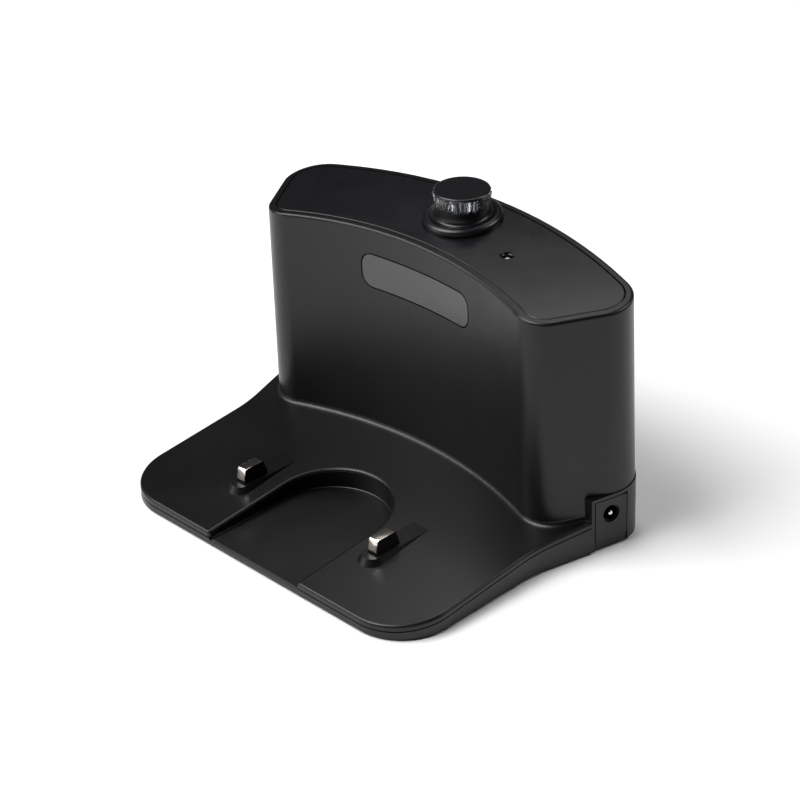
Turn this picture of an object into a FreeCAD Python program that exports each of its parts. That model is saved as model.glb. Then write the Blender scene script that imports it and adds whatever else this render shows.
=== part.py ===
"""Robot vacuum charging dock: wedge deck, curved tower, sprung contacts and the parts inside.

Millimetres, +Z up. The front edge of the deck faces -Y and the power inlet is on the +X side.
The origin is on the floor, in the middle of the width and of the depth.
"""
import FreeCAD
import Part
import math
import os

V = FreeCAD.Vector

# Whole dock
DEPTH = 139.3
FRONT_Y = -DEPTH / 2
BACK_Y = DEPTH / 2
WALL = 2.4
JOINT_GAP = 0.2
SPAN = 140.0

# Deck and base outline
DECK_HALF_WIDTH = 81.6
FRONT_CORNER_R = 23.0
FLARE_AHEAD = 76.3
FLARE_START = round(DEPTH - FLARE_AHEAD, 3)
FLARE_ANGLE = 13.9
BEND_R = 60.0
DECK_FRONT_Z = 6.3
DECK_SLOPE = 5.0
DECK_T = 2.4
DECK_EDGE_R = 1.1
PARTING_GROOVE = 0.5

# Base tray
FOOT_PROUD = 1.0
FLOOR_T = 2.0
FLOOR_Z = FOOT_PROUD + FLOOR_T
SKIRT_AHEAD = 44.3
SKIRT_START = round(DEPTH - SKIRT_AHEAD, 3)
SKIRT_Z = 24.0
SKIRT_PROUD = 0.2

# Tower, measured at the top of the skirt
BACK_ARC_R = 242.7
BACK_ARC_Y = BACK_Y - SKIRT_PROUD - BACK_ARC_R
TOWER_DEPTH = 46.0
TOWER_TOP_DEPTH = 48.0
FRONT_ARC_R = 188.3
FRONT_ARC_TOP_R = 179.2
TOWER_END_HALF = 87.0
TOWER_END_AHEAD = 39.3
TOWER_END_DEPTH = round(DEPTH - TOWER_END_AHEAD, 3)
TOWER_END_SPLAY = 30.9
TOWER_FRONT_CORNER_R = 12.9
TOWER_REAR_CORNER_R = 16.2
TOWER_DRAFT = 1.0
TOWER_FOOT_R = 2.0
TOWER_TOP_Z = 104.1
TOWER_TOP_TILT = 4.5
TOP_CROWN_R = 1017.0
TOWER_RIM = 3.0
TOWER_RIM_R = 1.2

# Top cap and its collar
CAP_T = 2.4
CAP_GAP = 0.35
CAP_EDGE_R = 0.4
LEDGE_T = 1.8
LEDGE_W = 2.6
BEACON_MARGIN = 0.45
COLLAR_R = 15.9
TOP_INSET = (TOWER_TOP_Z - SKIRT_Z) * math.tan(math.radians(TOWER_DRAFT))
BEACON_Y = BACK_Y - SKIRT_PROUD - TOP_INSET - TOWER_RIM - CAP_GAP - BEACON_MARGIN - COLLAR_R
COLLAR_EDGE_R = 2.2
COLLAR_H = 2.9
COLLAR_CREST_H = 3.5
COLLAR_COVE = 2.4
NECK_R = 10.3
NECK_Z = 112.2
NECK_BORE_R = 8.4

# Beacon
LENS_R = 11.6
LENS_H = 5.2
LENS_WALL = 1.8
LENS_SPIGOT = 3.0
LENS_FACETS = 24
BEACON_CAP_T = 1.1
BEACON_CAP_R = 11.1
BEACON_PLUG = 1.4
BEACON_FIT = 0.1
BEACON_BOARD_DROP = 1.0
BEACON_LEDS = 5

# Indicator
LED_X = 32.6
LED_AHEAD = 9.4
LED_HOLE_R = 2.1
LED_SINK_R = 3.1
LED_SINK = 0.9
LED_R = 1.5
LED_RECESS = 1.2
LED_FLANGE_R = 1.9
LED_FLANGE_T = 1.0

# Infrared window
WINDOW_W = 57.4
WINDOW_H = 14.2
WINDOW_Z = 84.9
WINDOW_T = 1.5
WINDOW_CORNER_R = 5.0
WINDOW_GAP = 0.6
WINDOW_LEDGE = 2.0

# Caster recess
RECESS_HALF = 25.0
RECESS_ARC_DEPTH = 40.0
RECESS_WALL = 2.0
RECESS_EDGE_R = 1.4
RAMP_LENGTH = 1.2
RAMP_DROP = 0.5

# Contacts
CONTACT_X = 37.4
CONTACT_W = 4.3
CONTACT_DEPTH = 28.0
CONTACT_TOP_L = 9.6
CONTACT_FOOT_L = 11.8
CONTACT_TOP_Z = 17.0
CONTACT_HEEL_Z = 12.4
CONTACT_TRAVEL = 2.5
CONTACT_CLEARANCE = 0.35
STRIP_T = 0.6
STRIP_LEG = 4.9
STRIP_BEND_R = 1.6
HEEL_L = 0.6
PAD_Z = 11.0
PAD_T = 2.2
PAD_TOP_R = 4.1
PAD_SIDE_SLOPE = 33.0
PAD_BACK = 32.0
FLANGE_LIP = 1.7
FLANGE_T = 1.0
SPRING_R = 1.0
SPRING_WIRE_R = 0.18
SPRING_PITCH = 1.7
SPRING_POCKET_R = 1.45
SPRING_TOP_Z = 14.4
TERMINAL_T = 0.5
TERMINAL_L = 19.0
TERMINAL_W = 5.0
TERMINAL_PEG_R = 0.6
TERMINAL_PEG_H = 1.2

# Power inlet
INLET_START = 2.0
INLET_W = 14.2
INLET_TOP_Z = 22.0
INLET_SILL_Z = 4.4
INLET_PLATE_T = 1.8
INLET_SUNK = 0.4
INLET_SILL_SUNK = 0.9
INLET_GAP = 0.7
JACK_Z = 15.4
JACK_HOLE_R = 3.75
JACK_BORE_R = 3.2
JACK_NOSE_R = 3.6
JACK_NOSE_BACK = 0.7
JACK_BODY_W = 9.0
JACK_BODY_H = 10.0
JACK_BODY_L = 12.0
JACK_BORE_L = 9.5
JACK_PIN_R = 1.0
JACK_PIN_L = 11.6

# Boards
BOARD_T = 1.6
MAIN_BOARD_X = 14.0
MAIN_BOARD_AHEAD = 39.3
MAIN_BOARD_DEPTH = round(DEPTH - MAIN_BOARD_AHEAD, 3)
MAIN_BOARD_W = 50.0
MAIN_BOARD_L = 25.0
MAIN_BOARD_Z = 8.5
MAIN_BOARD_HOLE_EDGE = 3.5
STANDOFF_R = 2.8
CAPACITOR_R = 4.0
CAPACITOR_H = 11.0
INDUCTOR_R = 6.0
INDUCTOR_H = 6.5
CHIP_W = 8.0
CHIP_L = 6.0
CHIP_H = 1.7
CONNECTOR_W = 7.5
CONNECTOR_L = 5.0
CONNECTOR_H = 6.0
CONNECTOR_PITCH = 10.0
EMITTER_BOARD_W = 74.0
EMITTER_BOARD_H = 16.0
EMITTER_BOARD_AHEAD = 35.3
EMITTER_BOARD_DEPTH = round(DEPTH - EMITTER_BOARD_AHEAD, 3)
EMITTER_POST_X = 32.0
EMITTER_POST_R = 3.0
EMITTER_PITCH = 18.0
EMITTER_R = 1.5
EMITTER_L = 3.6
TOP_BOARD_W = 62.0
TOP_BOARD_L = 24.0
TOP_BOARD_X = 9.0
TOP_BOARD_POST = 5.0
TOP_BOARD_POST_R = 2.6

# Ballast, feet and screws
BALLAST_T = 5.0
BALLAST_INSET = 5.0
BALLAST_LEFT_X = -66.0
BALLAST_RIGHT_X = 8.0
FOOT_R = 6.5
FOOT_SUNK = 0.8
FOOT_FRONT = (60.0, 42.0)
FOOT_REAR = (60.0, 112.0)
SCREW_HEAD_R = 2.5
SCREW_HEAD_H = 1.2
SCREW_PILOT_R = 1.1
SCREW_HOLE_R = 1.5
SCREW_BOSS_R = 3.4
FRONT_SCREWS = ((62.0, 18.0), (62.0, 70.0))
FRONT_SCREW_L = (4.2, 8.0)
REAR_SCREW_X = 45.0
REAR_SCREW_AHEAD = 10.3
REAR_SCREW_DEPTH = round(DEPTH - REAR_SCREW_AHEAD, 3)
REAR_SCREW_L = 16.0
REAR_SCREW_SEAT_Z = 16.0
REAR_BOSS_H = 12.0
BOARD_SCREW_L = 5.0


def depth(distance):
    """Y of a point that lies this far behind the front edge."""
    return FRONT_Y + distance


def deck_z(y):
    """Height of the deck's upper face."""
    return DECK_FRONT_Z + (y - FRONT_Y) * math.tan(math.radians(DECK_SLOPE))


def deck_under_z(y):
    """Height of the deck's lower face, where it lies on the tray's wall."""
    return deck_z(y) - DECK_T


def top_z(y, x=0.0):
    """Height of the tower's upper face, which rises towards the back and falls to both ends."""
    rise = (y - depth(TOWER_END_DEPTH)) * math.tan(math.radians(TOWER_TOP_TILT))
    return TOWER_TOP_Z + rise - TOP_CROWN_R + math.sqrt(TOP_CROWN_R ** 2 - x ** 2)


def box(x0, x1, y0, y1, z0, z1):
    """Block between two corners."""
    return Part.makeBox(x1 - x0, y1 - y0, z1 - z0, V(x0, y0, z0))


def rod(x, y, z, radius, height):
    """Upright cylinder that stands on z."""
    return Part.makeCylinder(radius, height, V(x, y, z))


def slab_under(height, drop=0.0):
    """Everything below a plane whose height depends on y."""
    y0 = FRONT_Y - SPAN
    y1 = BACK_Y + SPAN
    corners = [(y0, -SPAN), (y0, height(y0) - drop), (y1, height(y1) - drop), (y1, -SPAN), (y0, -SPAN)]
    side = Part.makePolygon([V(-SPAN, y, z) for y, z in corners])
    return Part.Face(side).extrude(V(2 * SPAN, 0, 0))


def under_top(drop=0.0):
    """Everything below the tower's crowned upper face, or below that face lowered by drop."""
    fall = top_z(0) - top_z(0, SPAN)
    left = V(-SPAN, 0, -fall)
    right = V(SPAN, 0, -fall)
    crown = Part.Arc(left, V(0, 0, 0), right).toShape()
    walls = Part.makePolygon([right, V(SPAN, 0, -2 * SPAN), V(-SPAN, 0, -2 * SPAN), left]).Edges
    block = Part.Face(Part.Wire([crown] + walls)).extrude(V(0, DEPTH + 2 * SPAN, 0))
    block.rotate(V(0, 0, 0), V(1, 0, 0), TOWER_TOP_TILT)
    y = FRONT_Y - SPAN
    block.translate(V(0, y, top_z(y) - drop))
    return block


def unit(x, y):
    """Direction of a plan vector."""
    length = math.hypot(x, y)
    return (x / length, y / length)


def corner_centre(line_point, splay, radius, circle_y, circle_r):
    """Centre of a round corner that touches a splayed end line, at circle_r from (0, circle_y)."""
    s = math.sin(splay)
    c = math.cos(splay)
    px = line_point[0] - radius * c
    py = line_point[1] + radius * s - circle_y
    half = px * s + py * c
    along = math.sqrt(half * half - (px * px + py * py - circle_r * circle_r)) - half
    return (px + along * s, py + along * c + circle_y)


def corner_arc(centre, radius, start, end):
    """Three plan points of a round corner between two directions from its centre."""
    middle = unit(start[0] + end[0], start[1] + end[1])
    return tuple((centre[0] + radius * d[0], centre[1] + radius * d[1]) for d in (start, middle, end))


def symmetric_wire(right, front_middle, back_middle, z):
    """Closed outline from its right-hand lines and arcs, mirrored in the middle plane."""
    left = [tuple((-x, y) for x, y in reversed(points)) for points in reversed(right)]
    first = right[0][0]
    last = right[-1][-1]
    front = [(-first[0], first[1]), first]
    if front_middle:
        front.insert(1, front_middle)
    back = [last, back_middle, (-last[0], last[1])]
    edges = []
    for points in [front] + right + [back] + left:
        corners = [V(x, y, z) for x, y in points]
        curve = Part.LineSegment(*corners) if len(corners) == 2 else Part.Arc(*corners)
        edges.append(curve.toShape())
    return Part.Wire(edges)


def flare_point():
    """Where the flared side begins, after the bend."""
    turn = math.radians(FLARE_ANGLE)
    x = DECK_HALF_WIDTH + BEND_R * (1 - math.cos(turn))
    return (x, depth(FLARE_START) + BEND_R * math.sin(turn))


def base_outline(inset, z):
    """Plan outline of deck and tray: round front corners, sides that flare out to the tower."""
    turn = math.radians(FLARE_ANGLE)
    outward = (math.cos(turn), -math.sin(turn))
    front_centre = (DECK_HALF_WIDTH - FRONT_CORNER_R, FRONT_Y + FRONT_CORNER_R)
    front = corner_arc(front_centre, FRONT_CORNER_R - inset, (0, -1), (1, 0))
    bend_centre = (DECK_HALF_WIDTH + BEND_R, depth(FLARE_START))
    bend = corner_arc(bend_centre, BEND_R + inset, (-1, 0), (-outward[0], -outward[1]))
    back_r = BACK_ARC_R + SKIRT_PROUD
    rear_r = TOWER_REAR_CORNER_R + SKIRT_PROUD
    rear_centre = corner_centre(flare_point(), turn, rear_r, BACK_ARC_Y, back_r - rear_r)
    to_back = unit(rear_centre[0], rear_centre[1] - BACK_ARC_Y)
    rear = corner_arc(rear_centre, rear_r - inset, outward, to_back)
    right = [front, (front[2], bend[0]), bend, (bend[2], rear[0]), rear]
    return symmetric_wire(right, None, (0, BACK_ARC_Y + back_r - inset), z)


def front_arc(z):
    """Radius and middle of the hollow front, which leans back and curls in towards the top."""
    share = (z - SKIRT_Z) / (TOWER_TOP_Z - SKIRT_Z)
    radius = FRONT_ARC_R + (FRONT_ARC_TOP_R - FRONT_ARC_R) * share
    through = TOWER_DEPTH + (TOWER_TOP_DEPTH - TOWER_DEPTH) * share
    return radius, BACK_Y - SKIRT_PROUD - through


def tower_outline(inset, z):
    """Plan outline of the tower: hollow front, round back, ends that splay out to the back."""
    arc_r, arc_middle = front_arc(z)
    arc_y = arc_middle - arc_r
    splay = math.radians(TOWER_END_SPLAY)
    outward = (math.cos(splay), -math.sin(splay))
    end = (TOWER_END_HALF, depth(TOWER_END_DEPTH))
    front_r = arc_r + TOWER_FRONT_CORNER_R
    front_centre = corner_centre(end, splay, TOWER_FRONT_CORNER_R, arc_y, front_r)
    to_front = unit(-front_centre[0], arc_y - front_centre[1])
    front = corner_arc(front_centre, TOWER_FRONT_CORNER_R - inset, to_front, outward)
    rear_r = BACK_ARC_R - TOWER_REAR_CORNER_R
    rear_centre = corner_centre(end, splay, TOWER_REAR_CORNER_R, BACK_ARC_Y, rear_r)
    to_back = unit(rear_centre[0], rear_centre[1] - BACK_ARC_Y)
    rear = corner_arc(rear_centre, TOWER_REAR_CORNER_R - inset, outward, to_back)
    right = [front, (front[2], rear[0]), rear]
    front_middle = (0, arc_middle + inset)
    back_middle = (0, BACK_ARC_Y + BACK_ARC_R - inset)
    return symmetric_wire(right, front_middle, back_middle, z)


def base_prism(inset, low, high):
    """Upright block of the base outline."""
    return Part.Face(base_outline(inset, low)).extrude(V(0, 0, high - low))


def tower_solid(inset, low, high):
    """Block of the tower's outline, with the moulding draft on every side."""
    slope = math.tan(math.radians(TOWER_DRAFT))
    wires = [tower_outline(inset + (z - SKIRT_Z) * slope, z) for z in (low, high)]
    return Part.makeLoft(wires, True, True)


def recess_prism(outset, front, low, high):
    """Block of the caster recess: straight sides from the front and a half-round end."""
    half = RECESS_HALF + outset
    centre_y = depth(RECESS_ARC_DEPTH)
    corners = [V(-half, centre_y, low), V(-half, front, low), V(half, front, low), V(half, centre_y, low)]
    edges = Part.makePolygon(corners).Edges
    edges.append(Part.Arc(corners[3], V(0, centre_y + half, low), corners[0]).toShape())
    return Part.Face(Part.Wire(edges)).extrude(V(0, 0, high - low))


def slot_prism(outset, y0, y1):
    """Block with the window's rounded outline that runs along Y, centred on the middle plane."""
    half = WINDOW_W / 2 + outset
    tall = WINDOW_H / 2 + outset
    block = box(-half, half, y0, y1, WINDOW_Z - tall, WINDOW_Z + tall)
    corners = [edge for edge in block.Edges if edge.BoundBox.YLength > edge.BoundBox.DiagonalLength / 2]
    return block.makeFillet(WINDOW_CORNER_R + outset, corners)


def pad_wire(x, radius, z):
    """Long round-ended outline of a contact pad."""
    front = depth(CONTACT_DEPTH)
    back = front + PAD_BACK
    edges = [
        Part.Arc(V(x - radius, front, z), V(x, front - radius, z), V(x + radius, front, z)).toShape(),
        Part.LineSegment(V(x + radius, front, z), V(x + radius, back, z)).toShape(),
        Part.Arc(V(x + radius, back, z), V(x, back + radius, z), V(x - radius, back, z)).toShape(),
        Part.LineSegment(V(x - radius, back, z), V(x - radius, front, z)).toShape(),
    ]
    return Part.Wire(edges)


def contact_pad(x):
    """Level pad with sloping sides that rises out of the deck and runs out towards the tower."""
    foot_r = PAD_TOP_R + (PAD_Z - FLOOR_Z) * math.tan(math.radians(PAD_SIDE_SLOPE))
    return Part.makeLoft([pad_wire(x, foot_r, FLOOR_Z), pad_wire(x, PAD_TOP_R, PAD_Z)], True, True)


def contact_slot(x):
    """Cut for a contact: a close slot through the pad and room for its flange below."""
    half = CONTACT_W / 2 + CONTACT_CLEARANCE
    front = depth(CONTACT_DEPTH) - CONTACT_CLEARANCE
    back = depth(CONTACT_DEPTH) + CONTACT_FOOT_L + CONTACT_CLEARANCE
    through = box(x - half, x + half, front, back, 0, PAD_Z + 1)
    room = half + FLANGE_LIP
    below = box(x - room, x + room, front - FLANGE_LIP, back + FLANGE_LIP, 0, PAD_Z - PAD_T)
    return through.fuse(below)


def edges_on(shape, height, wanted):
    """Edges of a shape that lie on a plane and pass a test at their middle."""
    found = []
    for edge in shape.Edges:
        middle = edge.valueAt((edge.FirstParameter + edge.LastParameter) / 2)
        ends = [v.Point for v in edge.Vertexes] + [middle]
        if all(abs(p.z - height(p.y)) < 0.01 for p in ends) and wanted(middle):
            found.append(edge)
    return found


def deck_and_tower():
    """Outer form of the upper housing before it is hollowed out."""
    skirt_y = depth(SKIRT_START)
    tower = tower_solid(0, 0, TOWER_TOP_Z + SKIRT_Z).common(under_top())
    upper_face = max(tower.Faces, key=lambda face: face.CenterOfMass.z)
    tower = tower.makeFillet(TOWER_RIM_R, upper_face.OuterWire.Edges)
    plain = box(-SPAN, SPAN, FRONT_Y - 1, BACK_Y + SKIRT_Z, 0, SPAN).common(slab_under(deck_z))
    rooted = plain.fuse(tower).removeSplitter()
    reach = BACK_Y + SKIRT_Z / 2
    foot = edges_on(rooted, deck_z, lambda p: abs(p.x) < SPAN - 1 and FRONT_Y < p.y < reach)
    rooted = rooted.makeFillet(TOWER_FOOT_R, foot)
    footprint = base_prism(0, 0, SPAN).common(box(-SPAN, SPAN, FRONT_Y - 1, skirt_y, 0, SPAN))
    body = rooted.common(footprint).fuse(tower).removeSplitter()
    rim = base_outline(0, 0)

    def on_rim(p):
        return rim.distToShape(Part.Vertex(p.x, p.y, 0))[0] < 0.05

    body = body.makeFillet(DECK_EDGE_R, edges_on(body, deck_z, on_rim))
    body = body.cut(recess_prism(0, FRONT_Y - 1, 0, SKIRT_Z))
    reach = depth(RECESS_ARC_DEPTH) + RECESS_HALF + 0.1
    lips = edges_on(body, deck_z, lambda p: abs(p.x) < RECESS_HALF + 0.1 and p.y < reach)
    body = body.makeFillet(RECESS_EDGE_R, [e for e in lips if e.Length > DECK_T])
    for x in (-CONTACT_X, CONTACT_X):
        body = body.fuse(contact_pad(x))
    return body


def screw_places(places):
    """Plan points of screws or feet, on both sides of the middle."""
    return [(side * x, depth(back)) for x, back in places for side in (-1, 1)]


def rear_screw_places():
    """Plan points of the two long screws in the tower."""
    return screw_places([(REAR_SCREW_X, REAR_SCREW_DEPTH)])


def upper_housing():
    """Deck and tower in one moulding, hollow below, open on top for the cap."""
    body = deck_and_tower()
    high = TOWER_TOP_Z + SKIRT_Z
    posts = recess_prism(RECESS_WALL, FRONT_Y + WALL + JOINT_GAP, FLOOR_Z, SKIRT_Z)
    for x, y in screw_places(FRONT_SCREWS):
        posts = posts.fuse(rod(x, y, FLOOR_Z, SCREW_BOSS_R, SKIRT_Z))
    body = body.cut(slab_under(deck_under_z).cut(posts))
    inner = tower_solid(WALL, 0, high)
    ledge_drop = CAP_T + LEDGE_T
    body = body.cut(inner.common(under_top(ledge_drop)))
    body = body.cut(tower_solid(TOWER_RIM, 0, high).cut(under_top(CAP_T)))
    body = body.cut(tower_solid(TOWER_RIM + LEDGE_W, 0, high))
    skirt_zone = box(-SPAN, SPAN, depth(SKIRT_START), BACK_Y + SPAN, -1, SKIRT_Z)
    body = body.cut(skirt_zone.cut(front_wall_zone(-2)))
    body = body.cut(window_cut())
    for x, y in screw_places(FRONT_SCREWS):
        body = body.cut(rod(x, y, 0, SCREW_PILOT_R, deck_z(y) - DECK_T / 2))
    for x in (-CONTACT_X, CONTACT_X):
        body = body.cut(contact_slot(x))
    return add_tower_bosses(body)


def front_wall_zone(low):
    """Room behind the skirt's start for the tower's front wall, which reaches down to the deck."""
    half = TOWER_END_HALF - TOWER_FRONT_CORNER_R
    front = depth(SKIRT_START) - 2 * WALL
    back = front_arc(SKIRT_Z)[1] + 2 * WALL
    return box(-half, half, front, back, low, SPAN)


def window_cut():
    """Stepped hole for the window: a shallow seat and a smaller opening behind it."""
    y0 = depth(SKIRT_START) - TOWER_DEPTH
    y1 = depth(EMITTER_BOARD_DEPTH)
    seat = slot_prism(WINDOW_GAP, y0, y1).cut(tower_solid(WINDOW_T, 0, TOWER_TOP_Z + SKIRT_Z))
    return seat.fuse(slot_prism(-WINDOW_LEDGE, y0, y1))


def add_tower_bosses(body):
    """Bosses for the long screws and for the emitter board, moulded on the tower's inner wall."""
    outside = tower_solid(WALL / 2, 0, TOWER_TOP_Z)
    for x, y in rear_screw_places():
        boss = rod(x, y, SKIRT_Z, SCREW_BOSS_R, REAR_BOSS_H)
        web = box(x - SCREW_BOSS_R / 2, x + SCREW_BOSS_R / 2, y, BACK_Y, SKIRT_Z, SKIRT_Z + REAR_BOSS_H)
        body = body.fuse(boss.fuse(web).common(outside))
        body = body.cut(rod(x, y, 0, SCREW_PILOT_R, SKIRT_Z + REAR_BOSS_H - WALL / 2))
    for x in (-EMITTER_POST_X, EMITTER_POST_X):
        start = V(x, depth(SKIRT_START) - TOWER_DEPTH, WINDOW_Z)
        reach = depth(EMITTER_BOARD_DEPTH) - start.y
        post = Part.makeCylinder(EMITTER_POST_R, reach, start, V(0, 1, 0))
        body = body.fuse(post.common(outside))
        pilot = V(x, depth(EMITTER_BOARD_DEPTH) - BOARD_SCREW_L, WINDOW_Z)
        body = body.cut(Part.makeCylinder(SCREW_PILOT_R, BOARD_SCREW_L, pilot, V(0, 1, 0)))
    return body


def base_tray():
    """Tray with the side walls, the rear skirt, screw pillars and the cut-out for the inlet."""
    skirt_y = depth(SKIRT_START)
    low = base_prism(0, FOOT_PROUD, SKIRT_Z)
    front = low.common(slab_under(deck_under_z)).common(box(-SPAN, SPAN, FRONT_Y - 1, skirt_y, 0, SPAN))
    tray = front.fuse(low.common(box(-SPAN, SPAN, skirt_y, BACK_Y + 1, 0, SPAN))).removeSplitter()
    groove = base_prism(-1, 0, SKIRT_Z).cut(base_prism(WALL / 2, 0, SKIRT_Z))
    groove = groove.common(box(-SPAN, SPAN, FRONT_Y - 2, skirt_y, 0, SPAN))
    tray = tray.cut(groove.cut(slab_under(deck_under_z, PARTING_GROOVE)))
    room = base_prism(WALL, FLOOR_Z, SPAN).common(box(-SPAN, SPAN, FRONT_Y, skirt_y - WALL, 0, SPAN))
    well = Part.Face(tower_outline(WALL, FLOOR_Z)).extrude(V(0, 0, SPAN))
    tray = tray.cut(room.fuse(well).fuse(front_wall_zone(FLOOR_Z)))
    tray = tray.cut(recess_prism(0, FRONT_Y - 1, FLOOR_Z, SKIRT_Z))
    tray = tray.cut(recess_ramp())
    for x, y in rear_screw_places():
        pillar = rod(x, y, FLOOR_Z, SCREW_BOSS_R, SKIRT_Z - FLOOR_Z)
        tray = tray.fuse(pillar)
        tray = tray.cut(rod(x, y, 0, SCREW_HEAD_R + JOINT_GAP, REAR_SCREW_SEAT_Z))
        tray = tray.cut(rod(x, y, 0, SCREW_HOLE_R, SKIRT_Z + 1))
    for x, y in screw_places(FRONT_SCREWS):
        tray = tray.cut(rod(x, y, 0, SCREW_HEAD_R + JOINT_GAP, FOOT_PROUD + SCREW_HEAD_H))
        tray = tray.cut(rod(x, y, 0, SCREW_HOLE_R, FLOOR_Z + 1))
    for x, y in main_board_holes():
        tray = tray.fuse(rod(x, y, FLOOR_Z, STANDOFF_R, MAIN_BOARD_Z - FLOOR_Z))
        tray = tray.cut(rod(x, y, FLOOR_Z, SCREW_PILOT_R, MAIN_BOARD_Z))
    for x, y in screw_places([FOOT_FRONT, FOOT_REAR]):
        tray = tray.cut(rod(x, y, 0, FOOT_R, FOOT_PROUD + FOOT_SUNK))
    return tray.cut(inlet_cut()).removeSplitter()


def recess_ramp():
    """Wedge that lowers the recess floor towards the front edge."""
    y0 = FRONT_Y - 1
    y1 = FRONT_Y + RAMP_LENGTH
    low = FLOOR_Z - RAMP_DROP * (y1 - y0) / RAMP_LENGTH
    corners = [V(-RECESS_HALF, y0, FLOOR_Z), V(-RECESS_HALF, y0, low), V(-RECESS_HALF, y1, FLOOR_Z)]
    return Part.Face(Part.makePolygon(corners + corners[:1])).extrude(V(2 * RECESS_HALF, 0, 0))


def on_inlet(shape):
    """Turn a shape made along Y at the origin onto the flared right side, where the inlet starts."""
    turn = math.radians(FLARE_ANGLE)
    x0, y0 = flare_point()
    back = depth(SKIRT_START) - y0
    placed = shape.copy()
    placed.rotate(V(0, 0, 0), V(0, 0, 1), -FLARE_ANGLE)
    placed.translate(V(x0 + back * math.tan(turn), y0 + back, 0))
    return placed


def inlet_plate(grow, top, sunk):
    """Block of the inlet plate from the floor of the tray up, sunk below the flared face."""
    y0 = INLET_START - grow
    y1 = INLET_START + INLET_W + grow
    return box(-INLET_PLATE_T - INLET_SILL_SUNK, -sunk, y0, y1, FOOT_PROUD, top + grow)


def inlet_cut():
    """Cut-out in the skirt for the inlet plate and the jack behind it."""
    plate = inlet_plate(INLET_GAP, INLET_TOP_Z, -1)
    middle = INLET_START + INLET_W / 2
    half = JACK_BODY_W / 2 + INLET_GAP
    tall = JACK_BODY_H / 2 + INLET_GAP
    body = box(-SKIRT_Z, 0, middle - half, middle + half, JACK_Z - tall, JACK_Z + tall)
    return on_inlet(plate.fuse(body))


def jack_panel():
    """Inset plate with the round hole for the jack and a deeper sill below."""
    plate = inlet_plate(0, INLET_SILL_Z, INLET_SILL_SUNK).fuse(inlet_plate(0, INLET_TOP_Z, INLET_SUNK).cut(
        box(-SPAN, SPAN, -SPAN, SPAN, 0, INLET_SILL_Z)))
    middle = INLET_START + INLET_W / 2
    hole = Part.makeCylinder(JACK_HOLE_R, SKIRT_Z, V(-SKIRT_Z / 2, middle, JACK_Z), V(1, 0, 0))
    return on_inlet(plate.cut(hole).removeSplitter())


def dc_jack():
    """Moulded jack: square body behind the plate, round nose in its hole, open bore."""
    face = -INLET_PLATE_T - INLET_SILL_SUNK
    middle = INLET_START + INLET_W / 2
    half = JACK_BODY_W / 2
    tall = JACK_BODY_H / 2
    body = box(face - JACK_BODY_L, face, middle - half, middle + half, JACK_Z - tall, JACK_Z + tall)
    nose_l = -face - INLET_SUNK - JACK_NOSE_BACK
    nose = Part.makeCylinder(JACK_NOSE_R, nose_l, V(face, middle, JACK_Z), V(1, 0, 0))
    bore = Part.makeCylinder(JACK_BORE_R, JACK_BORE_L + nose_l, V(face - JACK_BORE_L, middle, JACK_Z), V(1, 0, 0))
    seat = Part.makeCylinder(JACK_PIN_R, JACK_BODY_L, V(face - JACK_BODY_L, middle, JACK_Z), V(1, 0, 0))
    return on_inlet(body.fuse(nose).cut(bore).cut(seat))


def dc_jack_pin():
    """Round-nosed centre pin that stands in the jack's bore."""
    middle = INLET_START + INLET_W / 2
    back = -INLET_PLATE_T - INLET_SILL_SUNK - JACK_BODY_L
    length = JACK_BODY_L - JACK_BORE_L + JACK_PIN_L
    pin = Part.makeCylinder(JACK_PIN_R, length, V(back, middle, JACK_Z), V(1, 0, 0))
    tip = [edge for edge in pin.Edges if edge.CenterOfMass.x > back + length - 0.01]
    return on_inlet(pin.makeFillet(JACK_PIN_R / 2, tip))


def top_cap():
    """Inset cap with the raised collar of the beacon and the sunk hole of the indicator."""
    high = TOWER_TOP_Z + SKIRT_Z
    plate = tower_solid(TOWER_RIM + CAP_GAP, 0, high).common(under_top()).cut(under_top(CAP_T))
    upper_face = max(plate.Faces, key=lambda face: face.CenterOfMass.z)
    plate = plate.makeFillet(CAP_EDGE_R, upper_face.OuterWire.Edges)
    y = BEACON_Y
    low = top_z(y - COLLAR_R) - CAP_T
    collar = collar_solid(y).cut(under_top(CAP_T))
    cap = plate.fuse(collar).cut(rod(0, y, low, NECK_BORE_R, NECK_Z))
    for x, post_y in top_board_posts():
        floor = top_z(post_y) - CAP_T - TOP_BOARD_POST
        post = rod(x, post_y, floor - TOP_BOARD_POST, TOP_BOARD_POST_R, 2 * TOP_BOARD_POST + CAP_T)
        post = post.cut(slab_under(top_z, CAP_T + TOP_BOARD_POST)).common(slab_under(top_z, CAP_T / 2))
        cap = cap.fuse(post)
        cap = cap.cut(rod(x, post_y, floor - TOP_BOARD_POST, SCREW_PILOT_R, 2 * TOP_BOARD_POST))
    led_y = BEACON_Y - LED_AHEAD
    hole = rod(LED_X, led_y, TOWER_TOP_Z - 2 * SKIRT_Z, LED_HOLE_R, high)
    sink = Part.makeCone(LED_HOLE_R, LED_SINK_R, LED_SINK, V(LED_X, led_y, top_z(led_y, LED_X) - LED_SINK))
    return cap.cut(hole).cut(sink)


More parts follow.
